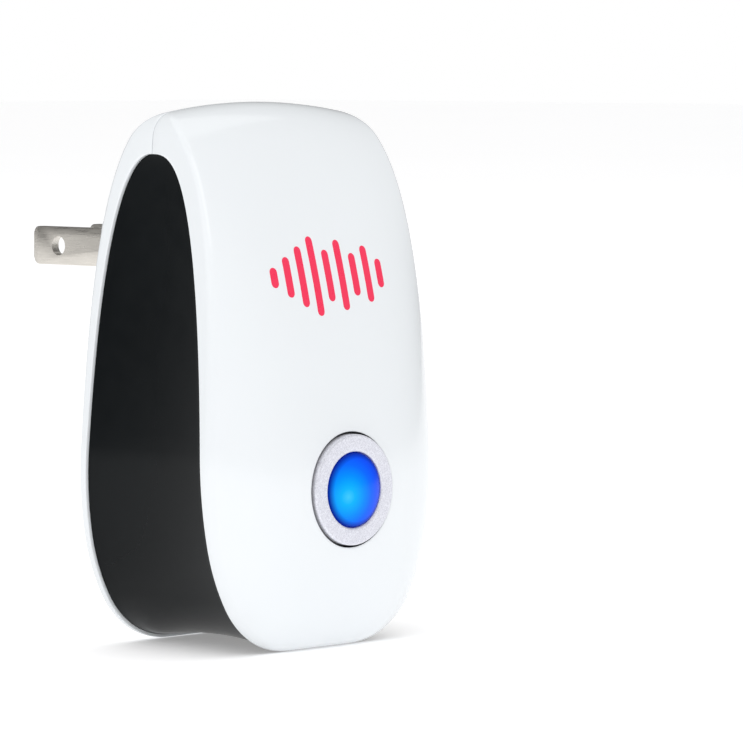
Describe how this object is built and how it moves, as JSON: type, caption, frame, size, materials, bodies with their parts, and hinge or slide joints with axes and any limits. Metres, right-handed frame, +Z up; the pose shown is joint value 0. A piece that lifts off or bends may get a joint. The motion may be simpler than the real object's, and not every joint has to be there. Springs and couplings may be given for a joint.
{
  "type": "ultrasonic pest repeller",
  "caption": "Plug-in ultrasonic repeller: domed white shell, dark side band, blue lens push button in a silver ring, flat blades at the rear, full inner works.",
  "frame": {"origin": "on the floor, below the middle of the overall size", "axes": "+X across the body, +Y towards the wall (the blades point along it), +Z up"},
  "size_m": [0.0514, 0.0698, 0.0876],
  "materials": {
    "white_plastic": "glossy moulded",
    "black_plastic": "high gloss moulded",
    "ring_silver": "fine glitter satin",
    "lens_blue": "clear glossy tinted plastic",
    "shroud_white": "satin moulded",
    "lamp_blue": "clear epoxy",
    "dark_plastic": "fine satin",
    "plunger_white": "satin moulded",
    "board_green": "solder resist on laminate",
    "screw_steel": "zinc plated",
    "blade_nickel": "satin nickel plated",
    "wire_black": "soft insulation",
    "wire_white": "soft insulation",
    "wire_red": "soft insulation",
    "disc_brass": "thin rolled",
    "gasket_foam": "closed cell foam",
    "film_red": "dipped epoxy",
    "can_blue": "sleeved aluminium can",
    "resistor_green": "dipped coating",
    "resistor_tan": "dipped coating",
    "ferrite": "sintered ferrite",
    "winding_copper": "enamelled copper wire",
    "ceramic_orange": "dipped ceramic disc",
    "label_silver": "blank satin film"
  },
  "bodies": {
    "housing": {"front_cover": "white_plastic", "rear_cover": "white_plastic", "side_band": "black_plastic", "trim_ring": "ring_silver", "light_shroud": "shroud_white", "led_left": "lamp_blue", "led_right": "lamp_blue", "switch_body": "dark_plastic", "blade_carrier": "dark_plastic", "emitter_cup": "dark_plastic", "rectifier": "dark_plastic", "driver_chip": "dark_plastic", "transistor": "dark_plastic", "circuit_board": "board_green", "board_screws": "screw_steel", "housing_screws": "screw_steel", "carrier_screws": "screw_steel", "line_blade": "blade_nickel", "neutral_blade": "blade_nickel", "line_wire": "wire_black", "emitter_wire_black": "wire_black", "neutral_wire": "wire_white", "emitter_wire_red": "wire_red", "emitter_disc": "disc_brass", "emitter_gasket": "gasket_foam", "film_capacitor": "film_red", "main_capacitor": "can_blue", "small_capacitor": "can_blue", "fuse_resistor": "resistor_green", "resistor_a": "resistor_tan", "resistor_b": "resistor_tan", "resistor_c": "resistor_tan", "choke_core": "ferrite", "choke_winding": "winding_copper", "ceramic_capacitor": "ceramic_orange", "rating_label": "label_silver"},
    "button": {"lens_button": "lens_blue"},
    "plunger": {"switch_plunger": "plunger_white"}
  },
  "joints": [
    {"name": "button_press", "type": "slide", "parent": "housing", "child": "button", "axis": [0, 1, 0], "range_m": [0, 0.0012], "stiffness_N_per_m": 800},
    {"name": "plunger_press", "type": "slide", "parent": "housing", "child": "plunger", "axis": [0, 1, 0], "range_m": [0, 0.0012]}
  ],
  "couplings": [
    {"joint": "plunger_press", "follows": "button_press", "ratio": 1}
  ]
}
